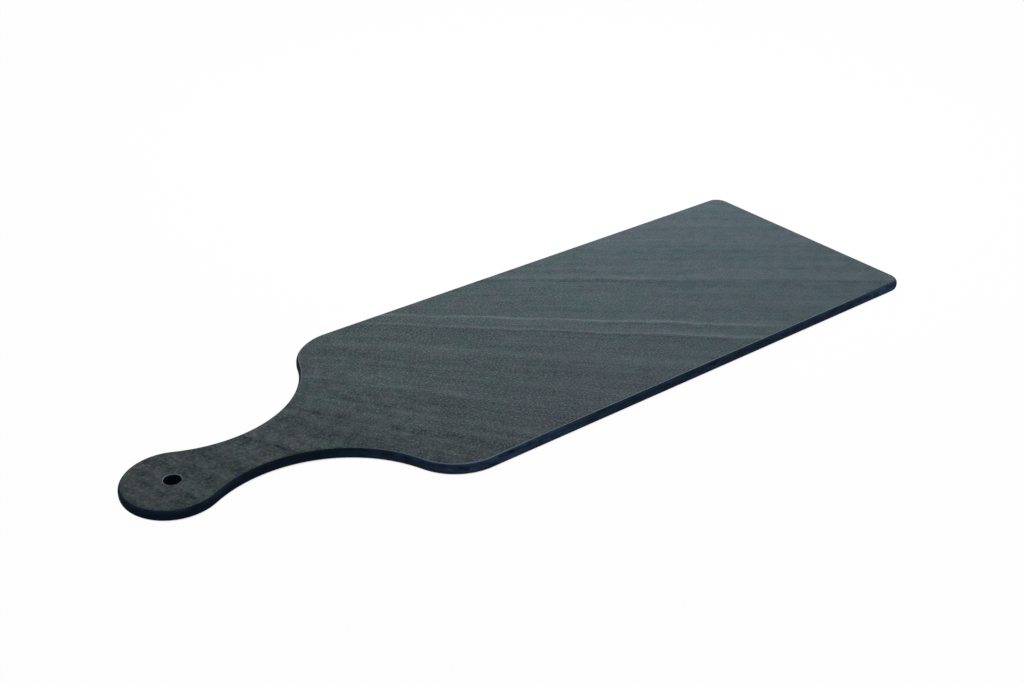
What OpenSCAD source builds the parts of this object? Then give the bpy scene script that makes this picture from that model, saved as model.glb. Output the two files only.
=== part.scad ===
// Handled display tray: a flat paddle-shaped board of stone-look compact laminate, standing on
// five small soft feet, with a hanging hole in the grip.
// X runs from the grip to the far end, Y to the left and Z up. The origin is on the table,
// under the middle of the board.

/* [Board] */
// Length from the tip of the grip to the far end
board_length = 530; // [420:1:700]
// Width of the blade
board_width = 176; // [140:1:220]
// Corner radius at the far end
far_corner_radius = 10; // [5:1:25]
// Radius where the blade rounds off into the neck
shoulder_radius = 35; // [15:1:60]
// Radius that rounds the board's edge, above and below
edge_radius = 3; // [1:0.1:3.2]

/* [Handle] */
// Length from the tip of the grip to where the blade reaches its full width
handle_length = 176; // [150:1:230]
// Radius of the grip's round end
grip_end_radius = 28.5; // [24:0.5:34]
// Width of the neck at its narrowest
neck_width = 35.5; // [20:0.5:46]
// Diameter of the hanging hole
hole_diameter = 10; // [6:0.5:14]
// Distance of the hanging hole from the tip of the grip
hole_from_tip = 28.5; // [20:0.5:34]
// Width of the bevel that eases each rim of the hole
hole_bevel = 0.4; // [0.1:0.05:0.45]

/* [Laminate] */
// Thickness of the black core
core_thickness = 6.4; // [5.6:0.1:10]
// Thickness of the stone-look sheet on top
face_thickness = 0.5; // [0.5:0.05:0.9]
// Thickness of the plain sheet underneath
backing_thickness = 0.5; // [0.5:0.05:0.9]

/* [Feet] */
// Diameter of a foot
foot_diameter = 10; // [6:0.5:14]
// Height of the board's underside above the table
foot_height = 1; // [0.5:0.25:5]
// Radius on the lower edge of a foot
foot_edge_radius = 0.8; // [0.2:0.1:0.9]
// Depth of the seat that a foot is bonded into
foot_seat_depth = 1; // [0.6:0.1:2]
// Gap all round between a foot and its seat
foot_seat_clearance = 0.15; // [0.05:0.05:0.4]
// Distance of the blade's feet from its sides, its far end and the start of its full width
foot_inset = 24; // [15:1:40]
// Distance of the grip's foot from the tip of the grip
grip_foot_from_tip = 62; // [50:1:80]

/* [Hidden] */
$fn = 128;
// How far a cutter runs past the face it opens
overshoot = 0.1;
// How far touching arcs run into each other, so that they join
arc_lap = 0.003;
// How far the round of the edge would rise past a face, so that the two cross at an angle
edge_rise = 0.01;

// Heights of the layers' lower faces above the board's underside
core_low = backing_thickness;
face_low = backing_thickness + core_thickness;
board_thickness = face_low + face_thickness;

// Ends of the board, and the centres of the round stretches on its left half
tip_x = -board_length / 2;
far_x = board_length / 2;
half_width = board_width / 2;
grip_centre = [tip_x + grip_end_radius, 0];
shoulder_centre = [tip_x + handle_length, half_width - shoulder_radius];
corner_centre = [far_x - far_corner_radius, half_width - far_corner_radius];
hole_centre = [tip_x + hole_from_tip, 0];

// The neck's hollow curve is one arc. It touches the grip's end and the shoulder, and comes
// within half the neck's width of the middle line. Two right triangles between the three arc
// centres give its run along X from the grip's centre as the root of a quadratic.
neck_half = neck_width / 2;
grip_step = grip_end_radius - neck_half;
blade_step = half_width - neck_half;
centre_run = shoulder_centre.x - grip_centre.x;
quad_a = blade_step - grip_step;
quad_b = 2 * grip_step * centre_run;
quad_c = -grip_step * (centre_run ^ 2 + blade_step * (grip_end_radius - 2 * shoulder_radius + half_width));
neck_run = (-quad_b + sqrt(quad_b ^ 2 - 4 * quad_a * quad_c)) / (2 * quad_a);
neck_radius = (neck_run ^ 2 / grip_step - grip_end_radius - neck_half) / 2;
neck_centre = grip_centre + [neck_run, neck_half + neck_radius];

// Feet: name and place on the table
foot_side = half_width - foot_inset;
foot_far_x = far_x - foot_inset;
foot_shoulder_x = shoulder_centre.x + foot_inset;
FEET = [
    ["foot_far_left", [foot_far_x, foot_side]],
    ["foot_far_right", [foot_far_x, -foot_side]],
    ["foot_shoulder_left", [foot_shoulder_x, foot_side]],
    ["foot_shoulder_right", [foot_shoulder_x, -foot_side]],
    ["foot_grip", [tip_x + grip_foot_from_tip, 0]],
];
foot_radius = foot_diameter / 2;
foot_top_z = foot_height + foot_seat_depth;

// Draws its children as they are and mirrored across the middle line
module both_sides() {
    children();
    mirror([0, 1, 0]) children();
}

// Half of the board's cross-section, from its middle to its rounded edge
module half_section(reach) {
    round_low = edge_radius - edge_rise;
    round_high = board_thickness - round_low;
    square([reach - edge_radius, board_thickness]);
    translate([0, round_low]) square([reach, round_high - round_low]);
    for (height = [round_low, round_high])
        translate([reach - edge_radius, height]) circle(edge_radius);
}

// The part of that half which lies in one layer
module layer_section(reach, low, high) {
    intersection() {
        half_section(reach);
        translate([0, low]) square([reach + overshoot, high - low]);
    }
}

// Round stretch of a layer, as a whole disc
module edge_disc(centre, radius, low, high) {
    translate(centre) rotate_extrude() layer_section(radius, low, high);
}

// Straight-sided blade with its four round corners
module blade(low, high) {
    both_sides() {
        translate([shoulder_centre.x, 0])
            rotate([90, 0, 90])
                linear_extrude(corner_centre.x - shoulder_centre.x)
                    layer_section(half_width, low, high);
        edge_disc(shoulder_centre, shoulder_radius, low, high);
        edge_disc(corner_centre, far_corner_radius, low, high);
    }
    translate([shoulder_centre.x, corner_centre.y])
        rotate([90, 0, 0])
            linear_extrude(2 * corner_centre.y)
                layer_section(far_x - shoulder_centre.x, low, high);
}

// Round cutter for the neck's hollow side, which leaves a rounded edge
module neck_cutter(radius) {
    translate(neck_centre)
        rotate_extrude()
            difference() {
                translate([0, -overshoot])
                    square([radius + edge_radius, board_thickness + 2 * overshoot]);
                translate([radius + 2 * edge_radius, 0]) mirror([1, 0]) half_section(2 * edge_radius);
            }
}

// Handle, from the middle of its round end to the shoulders, hollowed on both sides
module handle(low, high) {
    edge_disc(grip_centre, grip_end_radius, low, high);
    difference() {
        translate([0, 0, low])
            linear_extrude(high - low)
                both_sides()
                    polygon([grip_centre, neck_centre, shoulder_centre, [shoulder_centre.x, 0]]);
        both_sides() neck_cutter(neck_radius + arc_lap);
    }
}

// Round cutter for the hanging hole, which flares out to bevel both rims
module hole_cutter() {
    radius = hole_diameter / 2;
    rim = radius + hole_bevel + overshoot;
    translate(hole_centre)
        rotate_extrude()
            polygon([
                [0, -overshoot],
                [rim, -overshoot],
                [radius, hole_bevel],
                [radius, board_thickness - hole_bevel],
                [rim, board_thickness + overshoot],
                [0, board_thickness + overshoot],
            ]);
}

// One layer of the board, between two heights above its underside
module layer(low, high) {
    translate([0, 0, foot_height])
        difference() {
            union() {
                blade(low, high);
                handle(low, high);
            }
            hole_cutter();
        }
}

// Round seats for the feet, cut up from the underside
module foot_seats() {
    for (foot = FEET)
        translate([foot[1].x, foot[1].y, foot_height - overshoot])
            cylinder(d = foot_diameter + 2 * foot_seat_clearance, h = foot_seat_depth + overshoot);
}

// Black resin-bonded core, which shows round the edge of the board and in the hole
module core_board() {
    color("#1b2433")
        difference() {
            layer(core_low, face_low);
            foot_seats();
        }
}

// Stone-look sheet on top, which ends where the rounded edge cuts it
module stone_face_sheet() {
    color("#4d585b") layer(face_low, board_thickness);
}

// Plain black sheet underneath, which keeps the board flat
module backing_sheet() {
    color("#202225")
        difference() {
            layer(0, core_low);
            foot_seats();
        }
}

// Soft button foot with a rounded lower edge, bonded into its seat
module foot(place) {
    edge_centre = [foot_radius - foot_edge_radius, foot_edge_radius];
    color("#2b2d2f")
        translate(place)
            rotate_extrude() {
                square([edge_centre.x, foot_top_z]);
                translate(edge_centre) circle(foot_edge_radius);
                translate([0, foot_edge_radius]) square([foot_radius, foot_top_z - foot_edge_radius]);
            }
}

core_board();
stone_face_sheet();
backing_sheet();
for (foot = FEET) foot(foot[1]);
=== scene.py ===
"""Looks of a handled display tray: a paddle-shaped board of stone-look compact laminate on soft feet.

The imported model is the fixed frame. X runs from the grip to the far end, Y to the left and Z up, in metres,
with the origin on the table under the middle of the board. Each piece is a surface worked out with numpy,
dressed with a procedural finish, and it stands for the solid of the same name.
"""

import logging
import math
from abc import ABC, abstractmethod
from dataclasses import dataclass, field
from enum import Enum
from typing import Any, ClassVar, Optional, Sequence

import bmesh
import bpy
import numpy as np
from mathutils import Matrix, Vector
from mathutils.geometry import delaunay_2d_cdt


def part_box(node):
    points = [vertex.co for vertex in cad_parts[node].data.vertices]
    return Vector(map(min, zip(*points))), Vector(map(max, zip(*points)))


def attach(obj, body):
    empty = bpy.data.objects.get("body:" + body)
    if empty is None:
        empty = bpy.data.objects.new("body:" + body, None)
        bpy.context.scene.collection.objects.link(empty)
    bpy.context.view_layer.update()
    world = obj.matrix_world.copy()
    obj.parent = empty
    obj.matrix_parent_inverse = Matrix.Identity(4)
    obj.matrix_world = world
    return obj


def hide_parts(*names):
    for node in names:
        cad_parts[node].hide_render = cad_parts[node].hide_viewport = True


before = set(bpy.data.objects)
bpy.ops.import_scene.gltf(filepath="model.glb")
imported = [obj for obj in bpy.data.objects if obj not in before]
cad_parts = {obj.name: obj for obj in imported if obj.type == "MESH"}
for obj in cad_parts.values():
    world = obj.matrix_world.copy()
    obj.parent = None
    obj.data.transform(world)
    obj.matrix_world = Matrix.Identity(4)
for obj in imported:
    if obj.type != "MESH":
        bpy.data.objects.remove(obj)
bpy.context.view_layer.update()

MM = 0.001
BODY = "root"
# A node's output, as it is handed on to other nodes
Socket = bpy.types.NodeSocket
# Inputs of a Mix node that blends two colours, and its settings
SHARE, FIRST, SECOND = 0, 6, 7
BLEND = {"out": 2, "data_type": "RGBA"}
# Middle value of a noise, and a tint that changes nothing
MIDDLE = 0.5
WHOLE = (1.0, 1.0, 1.0)
log = logging.getLogger("display_tray")


def linear(hex_colour: str) -> tuple[float, float, float, float]:
    """Turns an sRGB hex colour into linear light with full opacity.

    Args:
        hex_colour: colour as "#rrggbb".

    Returns:
        Red, green, blue and opacity, from 0 to 1.
    """
    level = np.array([int(hex_colour[i:i + 2], 16) for i in (1, 3, 5)]) / 255.0
    value = np.where(level <= 0.04045, level / 12.92, ((level + 0.055) / 1.055) ** 2.4)
    return (*value.tolist(), 1.0)


class NodeGraph:
    """The node tree of a material or of the world."""

    def __init__(self, tree: bpy.types.NodeTree) -> None:
        """Takes a tree over and empties it."""
        self.tree = tree
        tree.nodes.clear()

    def add(
        self, kind: str, inputs: Optional[dict] = None, out: Any = 0, **settings: Any
    ) -> Optional[Socket]:
        """Adds one node, with its settings, constants and links.

        Args:
            kind: node type, without its "ShaderNode" prefix.
            inputs: for each input, by name or number, a constant or the output that feeds it.
            out: name or number of the output to hand back.
            settings: properties of the node.

        Returns:
            The chosen output, or None for a node that has none.
        """
        node = self.tree.nodes.new("ShaderNode" + kind)
        for name, value in settings.items():
            setattr(node, name, value)
        for key, value in (inputs or {}).items():
            if isinstance(value, Socket):
                self.tree.links.new(value, node.inputs[key])
            else:
                node.inputs[key].default_value = value
        return node.outputs[out] if node.outputs else None

    def place(self) -> Socket:
        """Place on the board, in millimetres."""
        at = self.add("TexCoord", out="Object")
        return self.add("VectorMath", {0: at, "Scale": 1 / MM}, operation="SCALE")


@dataclass(frozen=True)
class Ramp:
    """A value that changes evenly between two marks and stays level past them.

    Attributes:
        start: mark where the change starts.
        stop: mark where it ends.
        before: value on the starting side.
        after: value past the end.
    """

    start: float
    stop: float
    before: float = 0.0
    after: float = 1.0

    def of(self, measure: Socket) -> dict:
        """Inputs for a Map Range node that carries a measure along the ramp."""
        marks = {"From Min": self.start, "From Max": self.stop}
        return {"Value": measure, **marks, "To Min": self.before, "To Max": self.after}


def new_material(name: str) -> tuple[bpy.types.Material, NodeGraph]:
    """Makes a material with an empty node tree.

    Args:
        name: the real material and how its surface was made.

    Returns:
        The material and its graph.
    """
    material = bpy.data.materials.new(name)
    material.use_nodes = True
    return material, NodeGraph(material.node_tree)


@dataclass(frozen=True)
class EdgePath:
    """A closed line round an edge.

    Attributes:
        points: places on the line, one x, y row each.
        normals: unit directions out of the material, one row for each point.
    """

    points: np.ndarray
    normals: np.ndarray

    def inset(self, distance: float) -> np.ndarray:
        """Points moved into the material by a distance."""
        return self.points - distance * self.normals


def arc(
    centre: np.ndarray, radius: float, start: float, stop: float, step: float, outward: float = 1.0
) -> EdgePath:
    """Round stretch of an edge: centre + radius (cos a, sin a), with a from start up to, not including, stop.

    Args:
        centre: centre of the arc.
        radius: radius of the arc.
        start: first angle, in radians.
        stop: angle where the next stretch begins.
        step: longest distance between points.
        outward: 1 where the material is inside the arc, -1 where it is outside.

    Returns:
        The stretch, without its last point.
    """
    count = max(2, math.ceil(abs(stop - start) * radius / step))
    angle = np.linspace(start, stop, count, endpoint=False)
    rays = np.stack([np.cos(angle), np.sin(angle)], axis=1)
    return EdgePath(centre + radius * rays, outward * rays)


def straight(start: np.ndarray, stop: np.ndarray, normal: Sequence[float], step: float) -> EdgePath:
    """Straight stretch of an edge: start + t (stop - start), with t from 0 up to, not including, 1.

    Args:
        start: first point.
        stop: point where the next stretch begins.
        normal: direction out of the material.
        step: longest distance between points.

    Returns:
        The stretch, without its last point.
    """
    count = max(2, math.ceil(np.linalg.norm(stop - start) / step))
    share = np.linspace(0.0, 1.0, count, endpoint=False)[:, None]
    return EdgePath(start + share * (stop - start), np.tile(np.array(normal, float), (count, 1)))


def joined(stretches: Sequence[EdgePath]) -> EdgePath:
    """Stretches one after the other, as one path."""
    points, normals = zip(*((stretch.points, stretch.normals) for stretch in stretches))
    return EdgePath(np.concatenate(points), np.concatenate(normals))


def sweep(path: EdgePath, profile: np.ndarray) -> tuple[np.ndarray, np.ndarray]:
    """Carries a profile along a closed path.

    Vertex (i, j) is path point i, moved into the material by the inset of profile row j, at the height of
    that row.

    Args:
        path: closed path that is followed.
        profile: inset and height of each row.

    Returns:
        Vertices, and four-sided faces between neighbouring points and rows.
    """
    inset, height = profile.T
    flat = path.points[:, None] - inset[None, :, None] * path.normals[:, None]
    count, rows = flat.shape[:2]
    vertices = np.dstack([flat, np.broadcast_to(height, (count, rows))]).reshape(-1, 3)
    here = rows * np.arange(count)[:, None] + np.arange(rows - 1)
    after = np.roll(here, -1, axis=0)
    faces = np.stack([here, after, after + 1, here + 1], axis=-1).reshape(-1, 4)
    return vertices, faces


def enclosed(points: np.ndarray, loops: Sequence[np.ndarray]) -> np.ndarray:
    """Tells which points lie on a face: from them, a ray along X crosses its loops an odd number of times.

    Args:
        points: places to test.
        loops: outline of the face and its openings.

    Returns:
        True for each point on the face.
    """
    crossings = np.zeros(len(points), int)
    x, y = points.T[:, :, None]
    for loop in loops:
        (x0, y0), (x1, y1) = loop.T, np.roll(loop, -1, axis=0).T
        spans = (y0 > y) != (y1 > y)
        rise = np.where(y1 == y0, 1.0, y1 - y0)
        crossings += np.sum(spans & (x < x0 + (y - y0) * (x1 - x0) / rise), axis=1)
    return crossings % 2 == 1


def flat_face(loops: Sequence[np.ndarray], height: float, spacing: float) -> tuple[np.ndarray, np.ndarray]:
    """Level face between an outline and its openings, as a Delaunay triangulation that keeps their edges.

    A square lattice of points, clear of the edges, keeps the triangles well shaped.

    Args:
        loops: points of the outline and of each opening.
        height: level of the face.
        spacing: distance between lattice points.

    Returns:
        Vertices, and triangles.
    """
    rim = np.concatenate(loops)
    low, high = rim.min(axis=0), rim.max(axis=0)
    ticks = [np.arange(a + spacing / 2, b, spacing) for a, b in zip(low, high)]
    lattice = np.stack(np.meshgrid(*ticks), axis=-1).reshape(-1, 2)
    clear = np.linalg.norm(lattice[:, None] - rim[None], axis=2).min(axis=1) > spacing / 2
    lattice = lattice[clear & enclosed(lattice, loops)]
    ends = np.cumsum([len(loop) for loop in loops])
    numbers = [np.arange(end - len(loop), end) for loop, end in zip(loops, ends)]
    edges = np.concatenate([np.stack([ring, np.roll(ring, -1)], axis=1) for ring in numbers])
    points = np.concatenate([rim, lattice])
    whole_hull, tolerance = 0, 1e-9
    found = delaunay_2d_cdt(points.tolist(), edges.tolist(), [], whole_hull, tolerance)
    places, triangles = np.array(found[0]), np.array(found[2])
    triangles = triangles[enclosed(places[triangles].mean(axis=1), loops)]
    return np.column_stack([places, np.full(len(places), height)]), triangles


@dataclass
class PieceMesh:
    """Patches of one piece, which are welded into one closed mesh.

    Attributes:
        weld: points closer than this become one.
        crease: angle past which an edge stays sharp.
    """

    weld: float = 0.002 * MM
    crease: float = math.radians(25.0)
    vertices: list = field(default_factory=list)
    faces: list = field(default_factory=list)

    def add(self, vertices: np.ndarray, faces: np.ndarray) -> None:
        """Adds a patch, with its faces numbered on from the patches before it."""
        self.faces += (faces + sum(map(len, self.vertices))).tolist()
        self.vertices.append(vertices)

    def make(self, node: str, material: bpy.types.Material) -> bpy.types.Object:
        """Welds the patches, turns their faces outwards and puts the piece in the place of its solid.

        Args:
            node: name of the solid that the piece stands for.
            material: finish of the piece.

        Returns:
            The piece, at the origin.
        """
        name = "dressed_" + node
        mesh = bpy.data.meshes.new(name)
        mesh.from_pydata(np.concatenate(self.vertices), [], self.faces)
        work = bmesh.new()
        work.from_mesh(mesh)
        bmesh.ops.remove_doubles(work, verts=work.verts, dist=self.weld)
        bmesh.ops.recalc_face_normals(work, faces=work.faces)
        work.to_mesh(mesh)
        work.free()
        mesh.polygons.foreach_set("use_smooth", np.ones(len(mesh.polygons), bool))
        mesh.set_sharp_from_angle(angle=self.crease)
        mesh.materials.append(material)
        piece = bpy.data.objects.new(name, mesh)
        bpy.context.scene.collection.objects.link(piece)
        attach(piece, BODY)
        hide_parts(node)
        return piece


@dataclass(frozen=True)
class PaddleOutline:
    """Plan of the board: a blade with round corners, a neck that is one hollow arc a side, and a round grip.

    The ends and sides come from the frame.

    Attributes:
        far_corner_radius: radius at the far end.
        shoulder_radius: radius where the blade rounds off into the neck.
        handle_length: from the grip's tip to where the blade reaches its full width.
        grip_end_radius: radius of the grip's round end.
        neck_width: width of the neck at its narrowest.
        hole_diameter: diameter of the hanging hole.
        hole_from_tip: distance of the hole from the grip's tip.
        arc_step: longest distance between points on arcs.
        hole_step: longest distance between points round the hole.
        straight_step: longest distance between points on straight stretches.
    """

    far_corner_radius: float = 10 * MM
    shoulder_radius: float = 35 * MM
    handle_length: float = 176 * MM
    grip_end_radius: float = 28.5 * MM
    neck_width: float = 35.5 * MM
    hole_diameter: float = 10 * MM
    hole_from_tip: float = 28.5 * MM
    arc_step: float = 1.0 * MM
    hole_step: float = MM / 3
    straight_step: float = 8.0 * MM

    def edge(self) -> EdgePath:
        """The board's edge, from the grip's tip along the left side and back along the right.

        The neck's arc touches the grip's end and the shoulder, and comes within half the neck's width of the
        middle line. Two right triangles between the three centres give its run along X from the grip's centre
        as the root of a quadratic.

        Returns:
            The closed edge.
        """
        low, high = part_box("core_board")
        half_width = high.y
        grip = np.array([low.x + self.grip_end_radius, 0.0])
        shoulder = np.array([low.x + self.handle_length, half_width - self.shoulder_radius])
        corner = np.array([high.x, half_width]) - self.far_corner_radius
        neck_half = self.neck_width / 2
        grip_step = self.grip_end_radius - neck_half
        blade_step = half_width - neck_half
        span = shoulder[0] - grip[0]
        reach = blade_step * (self.grip_end_radius - 2 * self.shoulder_radius + half_width)
        roots = np.roots([
            blade_step - grip_step,
            2 * grip_step * span,
            -grip_step * (span**2 + reach),
        ])
        run = roots.max()
        neck_radius = (run**2 / grip_step - self.grip_end_radius - neck_half) / 2
        neck = grip + [run, neck_half + neck_radius]
        grip_turn = math.atan2(*(neck - grip)[::-1])
        shoulder_turn = math.atan2(*(neck - shoulder)[::-1])
        square, half_turn = math.pi / 2, math.pi
        side_start = np.array([shoulder[0], half_width])
        side_end = np.array([corner[0], half_width])
        far_middle = np.array([high.x, 0.0])
        left = joined([
            arc(grip, self.grip_end_radius, half_turn, grip_turn, self.arc_step),
            arc(neck, neck_radius, grip_turn - half_turn, shoulder_turn - half_turn, self.arc_step, -1.0),
            arc(shoulder, self.shoulder_radius, shoulder_turn, square, self.arc_step),
            straight(side_start, side_end, (0, 1), self.straight_step),
            arc(corner, self.far_corner_radius, square, 0.0, self.arc_step),
            straight(np.array([high.x, corner[1]]), far_middle, (1, 0), self.straight_step),
        ])
        middle = EdgePath(far_middle[None], np.array([[1.0, 0.0]]))
        right = EdgePath(left.points[:0:-1] * [1, -1], left.normals[:0:-1] * [1, -1])
        return joined([left, middle, right])

    def hole_centre(self) -> np.ndarray:
        """Middle of the hanging hole."""
        return np.array([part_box("core_board")[0].x + self.hole_from_tip, 0.0])

    def hole(self) -> EdgePath:
        """The hanging hole's edge, whose material lies outside the circle."""
        return arc(self.hole_centre(), self.hole_diameter / 2, 0.0, 2 * math.pi, self.hole_step, -1.0)


@dataclass(frozen=True)
class Bed:
    """A bed of the stone pattern: a line whose tone dies away on both sides, often faster on one.

    Attributes:
        angle: where it lies in the fan of beds, in degrees.
        rise: by how many degrees its tone grows by a factor of e on the way to it.
        fall: by how many degrees its tone dies away by a factor of e past it.
        tone: how much lighter it is, as a share of the stone's own light.
    """

    angle: float
    rise: float
    fall: float
    tone: float


# Beds that stand out, from the far end to the grip
STONE_BEDS = (
    Bed(21.5, 3.0, 1.2, 0.12),
    Bed(24.5, 0.8, 0.6, 0.08),
    Bed(27.5, 0.7, 0.5, 0.16),
    Bed(29.5, 0.4, 0.5, -0.05),
    Bed(34.3, 1.1, 0.15, 0.14),
    Bed(34.7, 0.2, 0.8, -0.12),
    Bed(38.1, 0.2, 0.3, 0.08),
    Bed(39.4, 0.4, 0.3, 0.02),
    Bed(41.1, 0.18, 0.11, 0.56),
    Bed(42.8, 0.35, 0.08, 0.36),
    Bed(43.1, 0.12, 0.6, -0.20),
    Bed(46.9, 0.7, 0.35, 0.12),
    Bed(48.1, 0.3, 0.7, -0.07),
    Bed(51.4, 0.4, 0.4, 0.10),
    Bed(53.4, 0.7, 0.45, 0.17),
    Bed(53.9, 0.15, 0.25, -0.14),
    Bed(55.8, 0.5, 0.6, -0.06),
    Bed(56.7, 0.3, 0.25, 0.30),
    Bed(58.0, 0.15, 0.2, 0.10),
    Bed(59.2, 0.2, 0.3, -0.17),
    Bed(61.6, 0.3, 0.8, -0.12),
    Bed(64.5, 0.6, 0.15, 0.16),
    Bed(65.3, 0.15, 0.3, -0.26),
    Bed(66.0, 0.2, 0.2, -0.20),
    Bed(67.5, 0.4, 0.2, 0.22),
    Bed(69.6, 0.7, 0.5, -0.18),
    Bed(71.1, 0.3, 0.2, 0.27),
    Bed(71.8, 0.2, 0.6, -0.12),
    Bed(74.4, 0.5, 0.3, 0.24),
    Bed(75.6, 0.3, 0.4, -0.12),
    Bed(76.4, 0.3, 0.4, 0.22),
    Bed(77.5, 0.8, 0.9, 0.08),
)


@dataclass(frozen=True)
class Finish(ABC):
    """What every finish has: a gloss, and patterns for its colour and its bumps that lie fixed on the board.

    Attributes:
        label: the real material and how its surface was made.
        roughness: from 0 for a mirror to 1 for chalk.
        specular: strength of the gloss.
        bump_size: size of the bumps, in millimetres.
        bump_detail: number of finer layers in the bumps.
        bump_depth: depth of the bumps, in millimetres.
        bump_strength: how plainly the bumps show, from 0 to 1.
    """

    label: ClassVar[str]
    roughness: float = 0.6
    specular: float = 0.25
    bump_size: float = 1.0
    bump_detail: float = 2.0
    bump_depth: float = 0.05
    bump_strength: float = 0.0

    @abstractmethod
    def colour(self, graph: NodeGraph, place: Socket) -> Socket:
        """Colour at a place on the board, which each finish works out."""

    def material(self) -> bpy.types.Material:
        """Builds the finish.

        Returns:
            The material.
        """
        material, graph = new_material(self.label)
        place = graph.place()
        look = {
            "Base Color": self.colour(graph, place),
            "Roughness": self.roughness,
            "Specular IOR Level": self.specular,
        }
        if self.bump_strength > 0:
            pattern = {"Vector": place, "Scale": 1 / self.bump_size, "Detail": self.bump_detail}
            relief = {"Strength": self.bump_strength, "Distance": self.bump_depth * MM}
            look["Normal"] = graph.add("Bump", {"Height": graph.add("TexNoise", pattern), **relief})
        graph.add("OutputMaterial", {"Surface": graph.add("BsdfPrincipled", look)})
        return material


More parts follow.
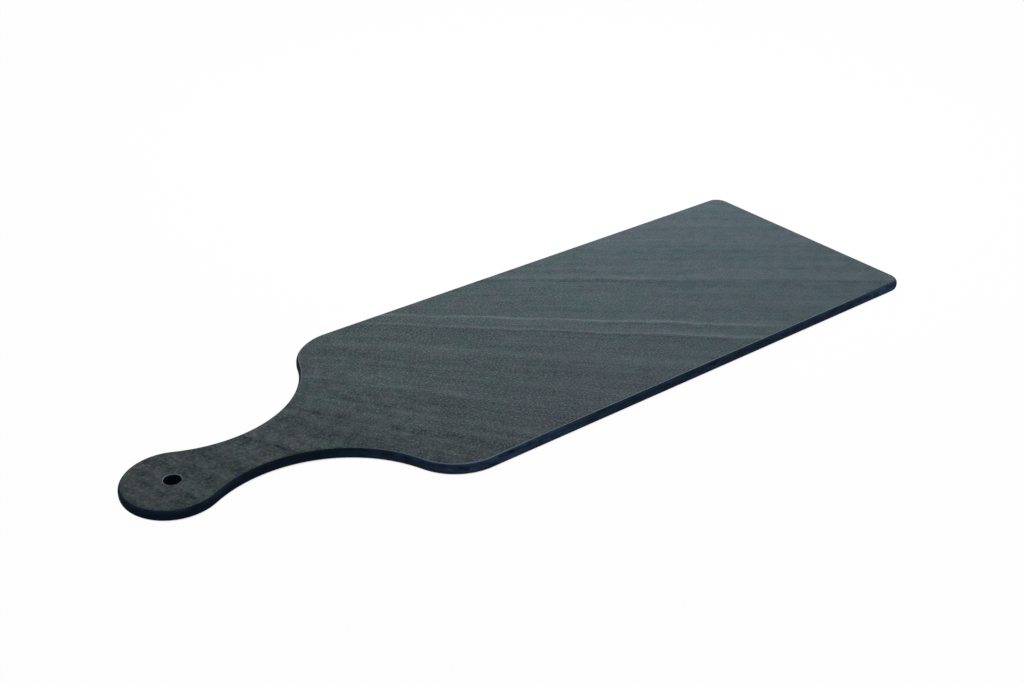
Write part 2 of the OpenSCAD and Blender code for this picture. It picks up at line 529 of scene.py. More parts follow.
@dataclass(frozen=True)
class StoneDecor(Finish):
    """Melamine-faced laminate, printed as dark grey bedded stone and pressed to a matt texture.

    To the eye: a grey-green ground with fine speckle, which is coarser and browner along the handle, and thin
    paler and darker beds that fan out across the board. There is hardly any gloss. Along the blade and round
    the hole it is paler where the edge cuts through the print, with a painted highlight on these pale edges,
    and the plies under the print are dark. The far end is tinted bluer as a painted sheen. The press plate's
    texture is about 0.3 mm and is drawn coarser, so that it shows.

    Sizes and places are in millimetres. Red, green and blue are given as shares.

    Attributes:
        green: greener parts of the ground.
        plum: greyer parts of the ground.
        browner: how much more red, green and blue the handle's ground has.
        painted_far_sheen: how much more red, green and blue the far end's ground has, as a painted bluish
            sheen.
        mottle: how far the inks stray in red, green and blue.
        handle_mottle: how much further they stray along the handle.
        warmth: how far red, green and blue each follow the light of the pattern.
        cut_and_highlight: colour along the blade's rounded edge, where the edge cuts through the print, with
            a painted highlight on it.
        ring: colour of the hole's eased rim, where the hole was drilled through the print, with a painted
            highlight on it.
        plies: colour of the sheet's paper plies under the print.
        fan_focus: point that the beds fan out from.
        mid_reach: distance from that point to mid-blade.
        degree_width: width of one degree of the fan at mid-blade.
        bend_size: size of the bends in the beds.
        bend_shift: how far the bends push the beds aside.
        drift_size: size of the green and plum patches.
        ink_size: size of the inks' mottling.
        patch_size: size of the patches where the beds are strong or faint.
        threads: width and length of the narrow streaks along the beds.
        bands: width and length of the wide ones.
        cloud_size: size of the clouds.
        speckle: light of the speckle, as a share of the ground's.
        speckle_size: size of its grains.
        coarse_size: size of its coarser grains, which are mixed in along the handle.
        coarse_contrast: how much stronger the speckle is where only coarser grains are.
        speckle_middle: noise at which the speckle changes nothing.
    """

    label: ClassVar[str] = "melamine_laminate_printed_bedded_stone"
    roughness: float = 0.6
    specular: float = 0.015
    bump_size: float = 0.9
    bump_strength: float = 0.25
    green: str = "#4d5b5c"
    plum: str = "#51595e"
    browner: tuple[float, float, float] = (0.115, 0.05, 0.025)
    # Painted sheen: bluish tint of the far end's ground
    painted_far_sheen: tuple[float, float, float] = (-0.02, 0.0, 0.05)
    mottle: tuple[float, float, float] = (0.4, 0.0, 0.4)
    handle_mottle: tuple[float, float, float] = (0.3, 0.0, 0.5)
    warmth: tuple[float, float, float] = (1.12, 1.0, 0.94)
    # Pale cut edges of the print, along the blade and round the hole, with a painted highlight on them
    cut_and_highlight: str = "#7f8d9c"
    ring: str = "#b3bfc6"
    plies: str = "#1b2734"
    fan_focus: tuple[float, float] = (-325.0, 330.0)
    mid_reach: float = 500.0
    degree_width: float = 8.5
    bend_size: float = 42.0
    bend_shift: float = 7.0
    drift_size: float = 14.0
    ink_size: float = 2.2
    patch_size: float = 35.0
    threads: tuple[float, float] = (1.6, 40.0)
    bands: tuple[float, float] = (7.0, 110.0)
    cloud_size: float = 6.0
    speckle: float = 0.6
    speckle_size: float = 1.2
    coarse_size: float = 2.0
    coarse_contrast: float = 0.3
    speckle_middle: float = 0.52

    def colour(self, graph: NodeGraph, place: Socket) -> Socket:
        """Colour of the printed face and of its edge: the ground times the light of the pattern, then the cut
        edges, which carry painted highlights.

        Args:
            graph: graph of the material.
            place: place on the board, in millimetres.

        Returns:
            The colour.
        """
        ground, light = self.ground(graph, place), self.tone(graph, place)
        stone = graph.add("VectorMath", {0: ground, 1: light}, operation="MULTIPLY")
        return self.edge(graph, place, stone)

    def ground(self, graph: NodeGraph, place: Socket) -> Socket:
        """Colour of the ground: green and plum patches, with the inks' mottling over them.

        Plum gains at the right shoulder. The handle is browner and more mottled, and the far end is tinted
        bluer as a painted sheen.

        Args:
            graph: graph of the material.
            place: place on the board, in millimetres.

        Returns:
            The colour.
        """
        x, y = (graph.add("SeparateXYZ", {0: place}, out=axis) for axis in "XY")
        drift = graph.add("TexNoise", {"Vector": place, "Scale": 1 / self.drift_size, "Detail": 3.0})
        right = graph.add("MapRange", Ramp(-10.0, -60.0, after=0.15).of(y))
        near = graph.add("MapRange", Ramp(60.0, -20.0).of(x))
        lean = graph.add("Math", {0: right, 1: near, 2: drift}, operation="MULTIPLY_ADD")
        spread = graph.add("MapRange", Ramp(0.35, 0.65).of(lean))
        colours = {FIRST: linear(self.green), SECOND: linear(self.plum)}
        blade = graph.add("Mix", {SHARE: spread, **colours}, **BLEND)
        held = graph.add("MapRange", Ramp(-90.0, -190.0).of(x))
        # Painted sheen: the ground is tinted bluer towards the far end
        far = graph.add("MapRange", Ramp(-60.0, 220.0).of(x))
        brown = graph.add("VectorMath", {0: held, 1: self.browner, 2: WHOLE}, operation="MULTIPLY_ADD")
        tint = graph.add("VectorMath", {0: far, 1: self.painted_far_sheen, 2: brown}, operation="MULTIPLY_ADD")
        tinted = graph.add("VectorMath", {0: blade, 1: tint}, operation="MULTIPLY")
        dots = {"Vector": place, "Scale": 1 / self.ink_size, "Detail": 1.0}
        inks = graph.add("TexNoise", dots, out="Color")
        centred = graph.add("VectorMath", {0: inks, 1: (MIDDLE,) * 3}, operation="SUBTRACT")
        strays = {0: held, 1: self.handle_mottle, 2: self.mottle}
        stray = graph.add("VectorMath", strays, operation="MULTIPLY_ADD")
        hue = graph.add("VectorMath", {0: centred, 1: stray, 2: WHOLE}, operation="MULTIPLY_ADD")
        return graph.add("VectorMath", {0: tinted, 1: hue}, operation="MULTIPLY")

    def edge(self, graph: NodeGraph, place: Socket, stone: Socket) -> Socket:
        """Colour of the face with its cut edge: pale round the hole, and pale over dark along the blade. The
        pale parts carry a painted highlight.

        Args:
            graph: graph of the material.
            place: place on the board, in millimetres.
            stone: colour of the face.

        Returns:
            The colour of the face and its edge.
        """
        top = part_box("stone_face_sheet")[1].z
        x, level = (graph.add("SeparateXYZ", {0: place}, out=axis) for axis in "XZ")
        depth = graph.add("Math", {0: top / MM, 1: level}, operation="SUBTRACT")
        # Pale cut line with a painted highlight on the rounded edge, along the blade only
        blade = graph.add("MapRange", Ramp(-150.0, -90.0).of(x))
        inner = graph.add("MapRange", Ramp(245.0, 205.0).of(x))
        side = graph.add("Math", {0: blade, 1: inner}, operation="MULTIPLY")
        rounded = graph.add("MapRange", Ramp(0.1, 0.25).of(depth))
        along = graph.add("Math", {0: rounded, 1: side}, operation="MULTIPLY")
        sides = graph.add("Mix", {SHARE: along, FIRST: stone, SECOND: linear(self.cut_and_highlight)}, **BLEND)
        # Painted highlight on the hole's eased rim, where it was drilled through the print
        flat = graph.add("VectorMath", {0: place, 1: (1, 1, 0)}, operation="MULTIPLY")
        middle = (*(PaddleOutline().hole_centre() / MM), 0)
        away = graph.add("VectorMath", {0: flat, 1: middle}, out="Value", operation="DISTANCE")
        hole = graph.add("MapRange", Ramp(8.0, 7.0).of(away))
        eased = graph.add("MapRange", Ramp(0.02, 0.06).of(depth))
        drilled_rim_highlight = graph.add("Math", {0: eased, 1: hole}, operation="MULTIPLY")
        cut_and_highlight = graph.add("Mix", {SHARE: drilled_rim_highlight, FIRST: sides, SECOND: linear(self.ring)}, **BLEND)
        deep = graph.add("MapRange", Ramp(0.28, 0.36).of(depth))
        bared = graph.add("MapRange", Ramp(-95.0, -55.0).of(x))
        dark = graph.add("Math", {0: deep, 1: bared}, operation="MULTIPLY")
        return graph.add("Mix", {SHARE: dark, FIRST: cut_and_highlight, SECOND: linear(self.plies)}, **BLEND)

    def fan(self, graph: NodeGraph, place: Socket) -> tuple[Socket, Socket]:
        """Where a place lies in the fan of beds.

        The beds are straight lines from one point beyond the grip, bent a little by noise. Towards both ends
        of the fan they lean away from those lines, by a share of a degree for each millimetre along them.

        Args:
            graph: graph of the material.
            place: place on the board, in millimetres.

        Returns:
            The angle across the beds, in degrees, and the distance along them, in millimetres.
        """
        waves = {"Vector": place, "Scale": 1 / self.bend_size, "Detail": 3.0, "Roughness": 0.65}
        bend = graph.add("TexNoise", waves, out="Color")
        centred = graph.add("VectorMath", {0: bend, 1: (MIDDLE,) * 3}, operation="SUBTRACT")
        shift = graph.add("VectorMath", {0: centred, "Scale": self.bend_shift}, operation="SCALE")
        bent = graph.add("VectorMath", {0: place, 1: shift}, operation="ADD")
        focus_x, focus_y = self.fan_focus
        turned = {0: bent, 1: (1, -1, 0), 2: (-focus_x, focus_y, 0)}
        ray = graph.add("VectorMath", turned, operation="MULTIPLY_ADD")
        across, down = (graph.add("SeparateXYZ", {0: ray}, out=axis) for axis in "XY")
        radians = graph.add("Math", {0: down, 1: across}, operation="ARCTAN2")
        angle = graph.add("Math", {0: radians}, operation="DEGREES")
        reach = graph.add("VectorMath", {0: ray}, out="Value", operation="LENGTH")
        far_lean = graph.add("MapRange", Ramp(20.0, 38.0, before=-0.0324, after=0.0).of(angle))
        near_lean = graph.add("MapRange", Ramp(40.0, 48.0, after=0.0072).of(angle))
        lean = graph.add("Math", {0: far_lean, 1: near_lean}, operation="ADD")
        past = graph.add("Math", {0: reach, 1: self.mid_reach}, operation="SUBTRACT")
        return graph.add("Math", {0: past, 1: lean, 2: angle}, operation="MULTIPLY_ADD"), reach

    def beds(self, graph: NodeGraph, angle: Socket) -> Socket:
        """Light of the beds, added up.

        A bed's part is its tone times e to the power of minus the angle to it, over its rise or its fall.

        Args:
            graph: graph of the material.
            angle: angle across the beds, in degrees.

        Returns:
            The sum of the beds.
        """
        total = 0.0
        for bed in STONE_BEDS:
            rising = {0: angle, 1: -1 / bed.rise, 2: bed.angle / bed.rise}
            falling = {0: angle, 1: 1 / bed.fall, 2: -bed.angle / bed.fall}
            before, after = (graph.add("Math", line, operation="MULTIPLY_ADD") for line in (rising, falling))
            away = graph.add("Math", {0: before, 1: after}, operation="MAXIMUM")
            share = graph.add("Math", {0: math.exp(-1), 1: away}, operation="POWER")
            total = graph.add("Math", {0: share, 1: bed.tone, 2: total}, operation="MULTIPLY_ADD")
        return total

    def streaks(self, graph: NodeGraph, angle: Socket, reach: Socket, width: float, length: float) -> Socket:
        """Noise that is drawn out along the beds.

        Args:
            graph: graph of the material.
            angle: angle across the beds, in degrees.
            reach: distance along the beds, in millimetres.
            width: size of a streak across the beds at mid-blade, in millimetres.
            length: size of a streak along the beds, in millimetres.

        Returns:
            The noise, around its middle value.
        """
        along = graph.add("Math", {0: reach, 1: 1 / length}, operation="MULTIPLY")
        aside = graph.add("Math", {0: angle, 1: self.degree_width / width}, operation="MULTIPLY")
        drawn = graph.add("CombineXYZ", {0: along, 1: aside})
        return graph.add("TexNoise", {"Vector": drawn, "Scale": 1.0, "Detail": 2.0})

    def tone(self, graph: NodeGraph, place: Socket) -> Socket:
        """Light of the pattern, as a share of the ground's: 1, plus beds, streaks, clouds and speckle.

        The speckle is e to the power of a noise, so that its pale grains stand out more than its dark ones.

        Args:
            graph: graph of the material.
            place: place on the board, in millimetres.

        Returns:
            The share, in red, green and blue: what is paler is a little warmer too.
        """
        angle, reach = self.fan(graph, place)
        x = graph.add("SeparateXYZ", {0: place}, out="X")
        patches = graph.add("TexNoise", {"Vector": place, "Scale": 1 / self.patch_size, "Detail": 2.0})
        patchy = graph.add("MapRange", Ramp(0.3, 0.7, 0.6, 1.5).of(patches))
        tone = graph.add("Math", {0: self.beds(graph, angle), 1: patchy}, operation="MULTIPLY")
        clouds = graph.add("TexNoise", {"Vector": place, "Scale": 1 / self.cloud_size, "Detail": 3.0})
        noises = (
            (self.streaks(graph, angle, reach, *self.threads), Ramp(-60.0, 180.0, 0.5, 0.3)),
            (self.streaks(graph, angle, reach, *self.bands), Ramp(40.0, 180.0, 0.65, 0.4)),
            (clouds, Ramp(-130.0, -60.0, 1.2, 0.45)),
        )
        for noise, strength in noises:
            gain = graph.add("MapRange", strength.of(x))
            centred = graph.add("Math", {0: noise, 1: MIDDLE}, operation="SUBTRACT")
            tone = graph.add("Math", {0: centred, 1: gain, 2: tone}, operation="MULTIPLY_ADD")
        fine, coarse = (
            graph.add("TexNoise", {"Vector": place, "Scale": 1 / size, "Detail": 2.0})
            for size in (self.speckle_size, self.coarse_size)
        )
        coarser = graph.add("MapRange", Ramp(-100.0, -190.0, after=0.5).of(x))
        grain = graph.add("Mix", {0: coarser, 2: fine, 3: coarse})
        nearer = graph.add("MapRange", Ramp(-60.0, 200.0, 5.0, 2.2).of(x))
        strengths = {0: coarser, 1: self.coarse_contrast, 2: nearer}
        contrast = graph.add("Math", strengths, operation="MULTIPLY_ADD")
        centred = graph.add("Math", {0: grain, 1: self.speckle_middle}, operation="SUBTRACT")
        power = graph.add("Math", {0: centred, 1: contrast}, operation="MULTIPLY")
        speckle = graph.add("Math", {0: math.e, 1: power}, operation="POWER")
        lighter = graph.add("Math", {0: speckle, 1: self.speckle, 2: tone}, operation="MULTIPLY_ADD")
        change = graph.add("Math", {0: lighter, 1: self.speckle}, operation="SUBTRACT")
        return graph.add("VectorMath", {0: change, 1: self.warmth, 2: WHOLE}, operation="MULTIPLY_ADD")


@dataclass(frozen=True)
class PhenolicCore(Finish):
    """Black phenolic core, milled to a round along its edge.

    To the eye: blue-black and matt, with faint lines of the pressed paper plies. It is scuffed paler in
    patches, with flecks. Its right side is paler at the shoulder and towards the far end, partly from scuffs
    and partly as painted light, and the upper edge of the grip is paler too. The left side is kept darker,
    partly as painted shade. A ply is about 0.25 mm thick, and the lines are drawn coarser, so that they show.

    Attributes:
        resin: colour of the clean edge.
        scuffed_and_lit: colour where scuffs and painted light make it palest.
        ply_size: length, width and height of the plies' lines, in millimetres.
        ply_share: how strong the plies' lines are beside the scuffs.
        scuff_size: length, width and height of a scuff, in millimetres.
        fleck_size: size of a fleck, in millimetres.
        handle_wear: wear along the handle.
        painted_light_and_knocks: changes of wear and of painted light along the right side, at the shoulder,
            past it and at the far end.
    """

    label: ClassVar[str] = "phenolic_core_milled_edge"
    roughness: float = 0.5
    specular: float = 0.005
    resin: str = "#17222f"
    # Palest colour of the edge, from scuffs and painted light
    scuffed_and_lit: str = "#3d5270"
    ply_size: tuple[float, float, float] = (30.0, 30.0, 0.6)
    ply_share: float = 0.4
    scuff_size: tuple[float, float, float] = (9.0, 9.0, 3.0)
    fleck_size: float = 3.0
    handle_wear: float = 0.17
    # Changes of wear and of painted light along the right side
    painted_light_and_knocks: tuple[Ramp, ...] = (
        Ramp(-160.0, -100.0, after=1.1),
        Ramp(-60.0, 0.0, after=-0.69),
        Ramp(205.0, 250.0, after=0.9),
    )

    def colour(self, graph: NodeGraph, place: Socket) -> Socket:
        """Colour of the edge: paler by the wear and painted light times patches of scuffs, and by flecks
        where those are strong.

        Args:
            graph: graph of the material.
            place: place on the board, in millimetres.

        Returns:
            The colour.
        """
        lines, smudges = (
            graph.add("VectorMath", {0: place, 1: size}, operation="DIVIDE")
            for size in (self.ply_size, self.scuff_size)
        )
        plies = graph.add("TexNoise", {"Vector": lines, "Scale": 1.0, "Detail": 2.0})
        scuffs = graph.add("TexNoise", {"Vector": smudges, "Scale": 1.0, "Detail": 3.0})
        both = graph.add("Math", {0: plies, 1: self.ply_share, 2: scuffs}, operation="MULTIPLY_ADD")
        patches = graph.add("MapRange", Ramp(0.42, 1.02).of(both))
        # How pale the edge is, from scuffs and painted light together
        painted_light_and_wear = self.painted_light_and_wear(graph, place)
        chips = graph.add("TexNoise", {"Vector": place, "Scale": 1 / self.fleck_size, "Detail": 2.0})
        flecks = graph.add("MapRange", Ramp(0.55, 0.75).of(chips))
        lit_and_knocked = graph.add("MapRange", Ramp(0.7, 1.3, after=0.7).of(painted_light_and_wear))
        chipped = graph.add("Math", {0: flecks, 1: lit_and_knocked}, operation="MULTIPLY")
        worn = graph.add("Math", {0: patches, 1: painted_light_and_wear, 2: chipped}, operation="MULTIPLY_ADD")
        colours = {FIRST: linear(self.resin), SECOND: linear(self.scuffed_and_lit)}
        return graph.add("Mix", {SHARE: worn, **colours}, **BLEND)

    def painted_light_and_wear(self, graph: NodeGraph, place: Socket) -> Socket:
        """How much paler the edge is round the board, partly from scuffs and partly as painted light.

        Args:
            graph: graph of the material.
            place: place on the board, in millimetres.

        Returns:
            The wear and painted light: high on the right side at the shoulder and at the far end, partly as
                painted
            light, and on the upper edge of the grip; low on the left side, partly as painted shade.
        """
        x, y, z = (graph.add("SeparateXYZ", {0: place}, out=axis) for axis in "XYZ")
        along = self.handle_wear
        for knock in self.painted_light_and_knocks:
            part = graph.add("MapRange", knock.of(x))
            along = graph.add("Math", {0: part, 1: along}, operation="ADD")
        # Painted shade: the left side keeps only a small share of the paleness
        side = graph.add("MapRange", Ramp(10.0, -10.0, before=0.15).of(y))
        lit_and_knocked = graph.add("Math", {0: along, 1: side}, operation="MULTIPLY")
        # Paler on the upper part of the grip's edge, towards its tip
        tip = graph.add("MapRange", Ramp(-190.0, -220.0, after=0.58).of(x))
        upper = graph.add("MapRange", Ramp(5.8, 7.6).of(z))
        return graph.add("Math", {0: tip, 1: upper, 2: lit_and_knocked}, operation="MULTIPLY_ADD")


@dataclass(frozen=True)
class BackingSheet(Finish):
    """Plain black melamine balancing sheet, pressed against a fine matt plate.

    To the eye: an even, nearly black face with a fine grain and little gloss. The plate's grain is about
    0.2 mm and is drawn coarser, so that it shows.

    Attributes:
        black: colour of the sheet.
        worn: colour of its paler clouds.
        cloud_size: size of the clouds, in millimetres.
        grain_share: how strong the grain's colour is beside the clouds.
    """

    label: ClassVar[str] = "melamine_balancing_sheet_matt_black"
    roughness: float = 0.6
    specular: float = 0.25
    bump_size: float = 1.2
    bump_detail: float = 3.0
    bump_strength: float = 0.4
    black: str = "#202225"
    worn: str = "#2c2f33"
    cloud_size: float = 30.0
    grain_share: float = 0.5

    def colour(self, graph: NodeGraph, place: Socket) -> Socket:
        """Colour of the sheet: a little paler in clouds and on the grain.

        Args:
            graph: graph of the material.
            place: place on the board, in millimetres.

        Returns:
            The colour.
        """
        grain, clouds = (
            graph.add("TexNoise", {"Vector": place, "Scale": 1 / size, "Detail": self.bump_detail})
            for size in (self.bump_size, self.cloud_size)
        )
        both = graph.add("Math", {0: grain, 1: self.grain_share, 2: clouds}, operation="MULTIPLY_ADD")
        paler = graph.add("MapRange", Ramp(0.5, 1.0).of(both))
        colours = {FIRST: linear(self.black), SECOND: linear(self.worn)}
        return graph.add("Mix", {SHARE: paler, **colours}, **BLEND)


@dataclass(frozen=True)
class MouldedSilicone(Finish):
    """Dark grey silicone rubber, moulded against a spark-eroded tool.

    To the eye: soft-looking and matt, with an even grain and a little dust. The tool's grain is about 0.1 mm
    and is drawn coarser, so that it shows.

    Attributes:
        rubber: colour of the clean rubber.
        dusty: colour where dust clings.
        dust_size: size of the dusty spots, in millimetres.
    """

    label: ClassVar[str] = "silicone_rubber_moulded_matt"
    roughness: float = 0.7
    specular: float = 0.3
    bump_size: float = 0.6
    bump_detail: float = 1.0
    bump_depth: float = 0.03
    bump_strength: float = 0.3
    rubber: str = "#2a2c2e"
    dusty: str = "#3a3c3e"
    dust_size: float = 2.5

    def colour(self, graph: NodeGraph, place: Socket) -> Socket:
        """Colour of the rubber: paler in spots where dust clings.

        Args:
            graph: graph of the material.
            place: place on the board, in millimetres.

        Returns:
            The colour.
        """
        dust = graph.add("TexNoise", {"Vector": place, "Scale": 1 / self.dust_size, "Detail": 4.0})
        clinging = graph.add("MapRange", Ramp(0.45, 0.8).of(dust))
        colours = {FIRST: linear(self.rubber), SECOND: linear(self.dusty)}
        return graph.add("Mix", {SHARE: clinging, **colours}, **BLEND)


class OuterFace(Enum):
    """The face of a layer that is also a face of the board."""

    NEITHER = "neither"
    UPPER = "upper"
    LOWER = "lower"


@dataclass(frozen=True)
class LaminateLayer:
    """One layer of the board, with its share of the rounded edge and of the hanging hole.

    Attributes:
        node: name of the layer's solid, and of the piece that stands for it.
        slot: name of the record's material slot; not used.
        outer: face of the layer that is also a face of the board.
        seated: whether the feet's seats open into the layer.
        edge_radius: radius that rounds the board's edge, above and below.
        edge_parts: number of flat parts that each of those rounds has.
        hole_radius: radius that eases the rims of the hole.
        hole_parts: number of flat parts that an eased rim has.
        rim: flat rim between a rounded edge and the rest of its face.
        lattice: distance between points inside a face.
        seat_lattice: distance between points on the inner end of a seat.
    """

    node: str
    slot: str
    outer: OuterFace
    seated: bool
    edge_radius: float = 3 * MM
    edge_parts: int = 16
    hole_radius: float = 0.4 * MM
    hole_parts: int = 6
    rim: float = 0.5 * MM
    lattice: float = 14 * MM
    seat_lattice: float = 3.5 * MM

    def edge_rows(self, bottom: float, top: float) -> np.ndarray:
        """Inset and height of the rows of the board's edge that lie in the layer, from the lowest up.

        The board's edge is a quarter circle, an upright part and another quarter circle. At a height that is
        u into a quarter circle of radius r, the inset is r - sqrt(r^2 - u^2).

        Args:
            bottom: level of the layer's lower face.
            top: level of its upper face.

        Returns:
            One row for each line along the edge.
        """
        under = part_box("backing_sheet")[0].z
        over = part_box("stone_face_sheet")[1].z
        radius = self.edge_radius
        turn = np.linspace(0.0, math.pi / 2, self.edge_parts + 1)
        from_face = radius * (1 - np.sin(turn))
        levels = np.concatenate([under + from_face, over - from_face])
        height = np.unique(np.clip(levels, bottom, top))
        into = np.clip(np.maximum(under + radius - height, height - over + radius), 0.0, radius)
        rows = np.column_stack([radius - np.sqrt(radius**2 - into**2), height])
        if self.outer is OuterFace.UPPER:
            rows = np.vstack([rows, [radius + self.rim, top]])
        elif self.outer is OuterFace.LOWER:
            rows = np.vstack([[radius + self.rim, bottom], rows])
        return rows

    def hole_rows(self, bottom: float, top: float) -> np.ndarray:
        """Inset and height of the rows of the hole's wall, from the lowest up.

        In an outer face of the board the wall ends in a small quarter circle and a flat rim.

        Args:
            bottom: level of the layer's lower face.
            top: level of its upper face.

        Returns:
            One row for each line round the hole.
        """
        if self.outer is OuterFace.NEITHER:
            return np.array([[0.0, bottom], [0.0, top]])
        turn = np.linspace(0.0, math.pi / 2, self.hole_parts + 1)
        inset = self.hole_radius * (1 - np.cos(turn))
        height = top - self.hole_radius * (1 - np.sin(turn))
        rows = np.vstack([
            [0.0, bottom],
            np.column_stack([inset, height]),
            [self.hole_radius + self.rim, top],
        ])
        if self.outer is OuterFace.LOWER:
            rows = np.column_stack([rows[::-1, 0], bottom + top - rows[::-1, 1]])
        return rows

    def build(
        self,
        edges: tuple[EdgePath, EdgePath],
        seats: Sequence[EdgePath],
        seat_top: float,
        material: bpy.types.Material,
    ) -> bpy.types.Object:
        """Makes the layer: its edges, its two faces and the feet's seats.

        Args:
            edges: edges of the board and of the hole.
            seats: edges of the feet's seats.
            seat_top: level of the seats' inner ends.
            material: finish of the layer.

        Returns:
            The piece.
        """
        low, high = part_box(self.node)
        profiles = (self.edge_rows(low.z, high.z), self.hole_rows(low.z, high.z))
        mesh = PieceMesh()
        for edge, rows in zip(edges, profiles):
            mesh.add(*sweep(edge, rows))
        lower = [edge.inset(rows[0, 0]) for edge, rows in zip(edges, profiles)]
        upper = [edge.inset(rows[-1, 0]) for edge, rows in zip(edges, profiles)]
        if self.seated:
            seat_loops = [seat.points for seat in seats]
            lower += seat_loops
            seat_end = min(seat_top, high.z)
            for seat in seats:
                mesh.add(*sweep(seat, np.array([[0.0, low.z], [0.0, seat_end]])))
            if seat_end < high.z:
                for loop in seat_loops:
                    mesh.add(*flat_face([loop], seat_end, self.seat_lattice))
            else:
                upper += seat_loops
        mesh.add(*flat_face(lower, low.z, self.lattice))
        mesh.add(*flat_face(upper, high.z, self.lattice))
        return mesh.make(self.node, material)


@dataclass(frozen=True)
class ButtonFoot:
    """Soft foot, a moulded button with a rounded lower edge.

    Attributes:
        node: name of the foot's solid, and of the piece that stands for it.
        slot: name of the record's material slot; not used.
        edge_radius: radius of the lower edge.
        edge_parts: number of flat parts that the lower edge has.
        rim: flat rim inside the rounded edge.
        seat_clearance: gap all round between the foot and its seat.
        step: longest distance between points round the foot.
    """

    node: str
    slot: str = "silicone_foot"
    edge_radius: float = 0.8 * MM
    edge_parts: int = 8
    rim: float = 0.4 * MM
    seat_clearance: float = 0.15 * MM
    step: float = 0.35 * MM

    def circle(self, extra: float, outward: float) -> EdgePath:
        """Circle round the foot's axis.

        Args:
            extra: how much wider its radius is than the foot's.
            outward: 1 for the foot's own side, -1 for the wall of its seat.

        Returns:
            The closed circle.
        """
        low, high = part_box(self.node)
        centre = np.array([(low.x + high.x) / 2, (low.y + high.y) / 2])
        return arc(centre, (high.x - low.x) / 2 + extra, 0.0, 2 * math.pi, self.step, outward)

    def seat(self) -> EdgePath:
        """Edge of the seat that the foot is bonded into."""
        return self.circle(self.seat_clearance, -1.0)

    def build(self, material: bpy.types.Material) -> bpy.types.Object:
        """Makes the foot: a profile turned round its axis, from the middle of its top to its underside.

        Args:
            material: finish of the foot.

        Returns:
            The piece.
        """
        low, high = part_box(self.node)
        radius = (high.x - low.x) / 2
        turn = np.linspace(0.0, math.pi / 2, self.edge_parts + 1)
        edge = low.z + self.edge_radius * (1 - np.sin(turn))
        rows = np.vstack([
            [radius, high.z],
            [0.0, high.z],
            np.column_stack([self.edge_radius * (1 - np.cos(turn)), edge]),
            [self.edge_radius + self.rim, low.z],
            [radius, low.z],
        ])
        mesh = PieceMesh()
        mesh.add(*sweep(self.circle(0.0, 1.0), rows))
        return mesh.make(self.node, material)


@dataclass(frozen=True)
class DisplayTray:
    """The whole board: three bonded layers, and the feet in their seats."""

    outline: PaddleOutline = PaddleOutline()

    def build(self) -> list[bpy.types.Object]:
        """Makes every piece.

        Returns:
            The pieces, the layers first.
        """
        feet = [ButtonFoot(node) for node in sorted(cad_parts) if node.startswith("foot_")]
        seats = [foot.seat() for foot in feet]
        seat_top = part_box(feet[0].node)[1].z
        edges = (self.outline.edge(), self.outline.hole())
        layers = (
            (LaminateLayer("stone_face_sheet", "stone_decor", OuterFace.UPPER, False), StoneDecor()),
            (LaminateLayer("core_board", "black_core", OuterFace.NEITHER, True), PhenolicCore()),
            (LaminateLayer("backing_sheet", "black_backing", OuterFace.LOWER, True), BackingSheet()),
        )
        pieces = [layer.build(edges, seats, seat_top, finish.material()) for layer, finish in layers]
        rubber = MouldedSilicone().material()
        return pieces + [foot.build(rubber) for foot in feet]


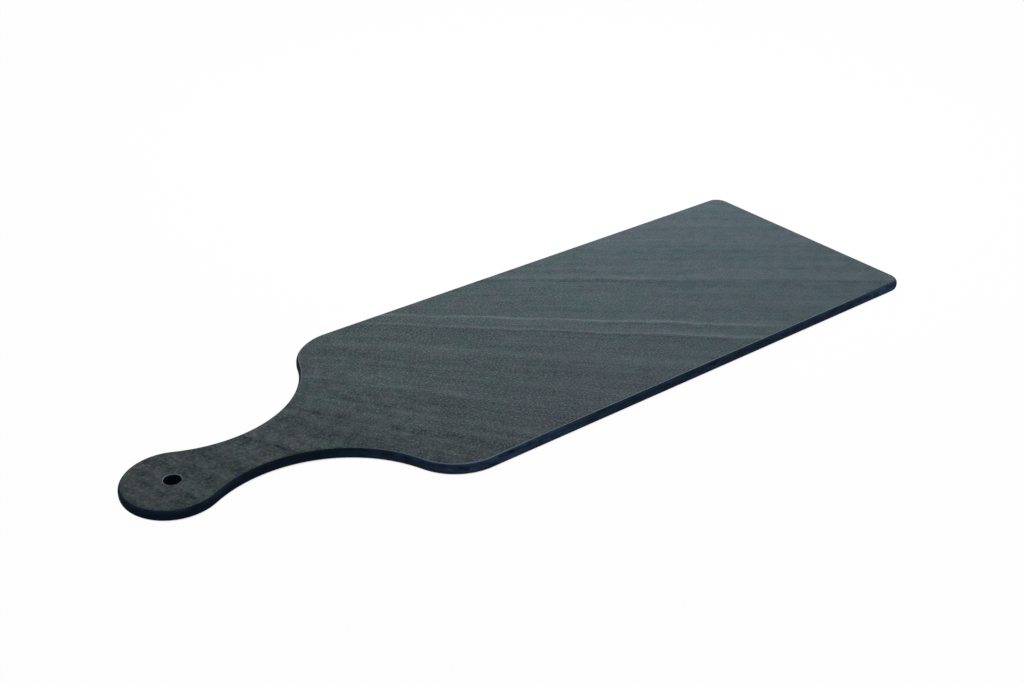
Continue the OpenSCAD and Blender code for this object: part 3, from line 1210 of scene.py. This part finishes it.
@dataclass(frozen=True)
class Studio:
    """Plain pale floor, soft light and the camera of the photograph.

    Attributes:
        floor_half: half the side of the floor.
        floor_colour: colour of the floor's paper.
        white_share: how much of the open floor's look is plain white, so that the shadow stays faint.
        shade_reach: how far off a piece still shades the floor under it.
        shaded: share of open sky up to which the floor counts as shaded.
        fill: strength of the light from all round.
        key_place: middle of the key lamp.
        key_aim: point that the key lamp faces.
        key_size: width and height of the key lamp.
        key_power: power of the key lamp, in watts.
        target: point that the camera faces.
        azimuth: direction of the camera round the board, in radians.
        elevation: height of the camera above the horizon, in radians.
        distance: distance of the camera from its target.
        roll: turn of the camera about its line of sight, in radians.
        focal_pixels: focal length, in pixels of an image that is image_width wide.
        image_width: width of the image, in pixels.
    """

    floor_half: float = 2.5
    floor_colour: str = "#f4f4f4"
    white_share: float = 0.98
    shade_reach: float = 0.03
    shaded: float = 0.15
    fill: float = 0.25
    key_place: tuple[float, float, float] = (0.18, 0.26, 0.62)
    key_aim: tuple[float, float, float] = (0.6, 0.23, 0.0)
    key_size: tuple[float, float] = (0.5, 0.5)
    key_power: float = 5.4
    target: tuple[float, float, float] = (6.619 * MM, 16.796 * MM, 1.0 * MM)
    azimuth: float = -0.67572
    elevation: float = 0.51546
    distance: float = 881.16 * MM
    roll: float = 0.01089
    focal_pixels: float = 1385.3
    image_width: int = 1024

    def seen(self, graph: NodeGraph) -> Socket:
        """Tells what the camera sees, straight or by way of gloss or glass, from light on the object.

        Args:
            graph: graph of the floor's material or of the world.

        Returns:
            1 for what is seen, and 0 for light on the object.
        """
        straight_on = graph.add("LightPath", out="Is Camera Ray")
        by_gloss = graph.add("LightPath", out="Is Glossy Ray")
        by_glass = graph.add("LightPath", out="Is Transmission Ray")
        either = graph.add("Math", {0: straight_on, 1: by_gloss}, operation="MAXIMUM")
        return graph.add("Math", {0: either, 1: by_glass}, operation="MAXIMUM")

    def build_floor(self) -> bpy.types.Object:
        """Makes the floor, level with the feet's undersides.

        Returns:
            The floor.
        """
        material, graph = new_material("studio_paper_white")
        paper = graph.add("BsdfDiffuse", {"Color": linear(self.floor_colour)})
        white = graph.add("Emission", {"Strength": 1.0})
        open_sky = graph.add("AmbientOcclusion", {"Distance": self.shade_reach}, out="AO")
        unshaded = graph.add("MapRange", Ramp(0.0, self.shaded, after=self.white_share).of(open_sky))
        share = graph.add("Math", {0: self.seen(graph), 1: unshaded}, operation="MULTIPLY")
        graph.add("OutputMaterial", {"Surface": graph.add("MixShader", {0: share, 1: paper, 2: white})})
        side = np.array([-self.floor_half, self.floor_half])
        corners = np.stack(np.meshgrid(side, side), axis=-1).reshape(-1, 2)
        mesh = bpy.data.meshes.new("studio_floor")
        mesh.from_pydata(np.column_stack([corners, np.zeros(4)]), [], [[0, 1, 3, 2]])
        mesh.materials.append(material)
        floor = bpy.data.objects.new("studio_floor", mesh)
        bpy.context.scene.collection.objects.link(floor)
        return floor

    def build_light(self) -> None:
        """Makes the light from all round and the key lamp, which stands past the far end."""
        scene = bpy.context.scene
        scene.world = bpy.data.worlds.new("studio_light")
        scene.world.use_nodes = True
        graph = NodeGraph(scene.world.node_tree)
        fill = graph.add("Background", {"Strength": self.fill})
        white = graph.add("Background", {"Strength": 1.0, "Color": linear("#ffffff")})
        sky = graph.add("MixShader", {0: self.seen(graph), 1: fill, 2: white})
        graph.add("OutputWorld", {"Surface": sky})
        data = bpy.data.lights.new("key_lamp", "AREA")
        data.shape = "RECTANGLE"
        data.size, data.size_y = self.key_size
        data.energy = self.key_power
        lamp = bpy.data.objects.new("key_lamp", data)
        lamp.location = self.key_place
        facing = Vector(self.key_aim) - Vector(self.key_place)
        lamp.rotation_euler = facing.to_track_quat("-Z", "Y").to_euler()
        scene.collection.objects.link(lamp)

    def build_camera(self) -> bpy.types.Object:
        """Makes the camera at the photograph's viewing angle.

        Returns:
            The camera.
        """
        back = Vector((
            math.sin(self.azimuth) * math.cos(self.elevation),
            -math.cos(self.azimuth) * math.cos(self.elevation),
            math.sin(self.elevation),
        ))
        level = Vector((0, 0, 1)).cross(back).normalized()
        upright = back.cross(level)
        right = math.cos(self.roll) * level + math.sin(self.roll) * upright
        up = math.cos(self.roll) * upright - math.sin(self.roll) * level
        data = bpy.data.cameras.new("camera")
        data.sensor_fit = "HORIZONTAL"
        data.lens = data.sensor_width * self.focal_pixels / self.image_width
        camera = bpy.data.objects.new("camera", data)
        turn = Matrix((right, up, back)).transposed().to_4x4()
        camera.matrix_world = Matrix.Translation(Vector(self.target) + self.distance * back) @ turn
        bpy.context.scene.collection.objects.link(camera)
        bpy.context.scene.camera = camera
        return camera


def main() -> None:
    """Builds the studio and the board, and reports each piece."""
    logging.basicConfig(level=logging.INFO, format="%(message)s")
    bpy.context.scene.view_settings.view_transform = "Standard"
    studio = Studio()
    studio.build_camera()
    studio.build_light()
    studio.build_floor()
    for piece in DisplayTray().build():
        log.info("%s: %d faces", piece.name, len(piece.data.polygons))


if __name__ == "__main__":
    main()
